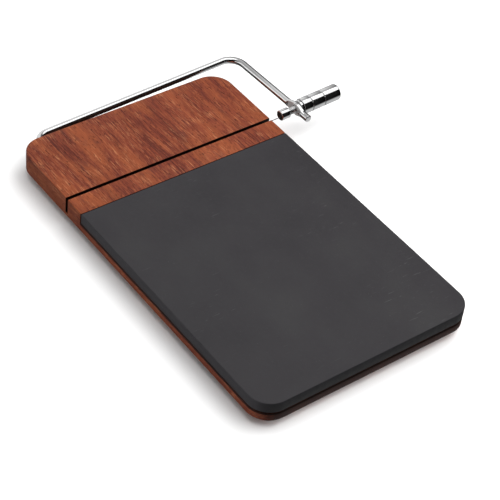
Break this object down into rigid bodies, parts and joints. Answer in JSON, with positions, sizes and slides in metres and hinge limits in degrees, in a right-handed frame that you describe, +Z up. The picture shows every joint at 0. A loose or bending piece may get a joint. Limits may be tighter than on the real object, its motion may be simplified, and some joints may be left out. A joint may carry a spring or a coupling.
{
  "type": "cheese wire cutter",
  "caption": "Wooden board with an inlaid dark stone slab and a swinging chrome bow that brings a taut wire down into a saw kerf to slice cheese.",
  "frame": {"origin": "bottom centre of the whole object's box, in the plane that the feet stand on", "axes": "+X across the board towards the tension knob, +Y along the board from the slab end to the pivot end, +Z up"},
  "size_m": [0.2062, 0.2666, 0.0257],
  "materials": {
    "board_wood": "satin oiled reddish brown hardwood, grain along the board's length",
    "slab_stone": "honed matte charcoal slate",
    "bond_silicone": "black food-safe silicone bond",
    "foot_rubber": "matte black rubber",
    "bow_chrome": "polished chrome plate on steel rod",
    "hardware_chrome": "polished chrome plate on turned steel",
    "wire_steel": "bright stainless wire",
    "fixing_steel": "zinc-grey steel"
  },
  "bodies": {
    "board": {"wood_board": "board_wood", "stone_slab": "slab_stone", "slab_adhesive": "bond_silicone", "foot_front_left": "foot_rubber", "foot_front_right": "foot_rubber", "foot_back_left": "foot_rubber", "foot_back_right": "foot_rubber", "foot_washer_front_left": "fixing_steel", "foot_washer_front_right": "fixing_steel", "foot_washer_back_left": "fixing_steel", "foot_washer_back_right": "fixing_steel", "foot_screw_front_left": "fixing_steel", "foot_screw_front_right": "fixing_steel", "foot_screw_back_left": "fixing_steel", "foot_screw_back_right": "fixing_steel"},
    "bow": {"wire_bow": "bow_chrome", "cutting_wire": "wire_steel", "wire_bead_pivot": "wire_steel", "thrust_collar": "hardware_chrome"},
    "holder": {"wire_holder": "hardware_chrome", "wire_bead_holder": "wire_steel"},
    "knob": {"tension_knob": "hardware_chrome"}
  },
  "joints": [
    {"name": "bow_swing", "type": "hinge", "parent": "board", "child": "bow", "pos_m": [-0.08541, 0.06509, 0.0125], "axis": [0, -1, 0], "range_deg": [-4, 179]},
    {"name": "knob_turn", "type": "hinge", "parent": "bow", "child": "knob", "pos_m": [0.06996, 0.06509, 0.01888], "axis": [-0.9992, 0, -0.041], "range_deg": [-720, 90]},
    {"name": "stud_slide", "type": "slide", "parent": "bow", "child": "holder", "axis": [0.9992, 0, 0.041], "range_m": [-0.0017, 0.00025], "deforming": ["cutting_wire"]}
  ],
  "couplings": [
    {"joint": "stud_slide", "follows": "knob_turn", "m_per_rad": 0.00012732}
  ]
}
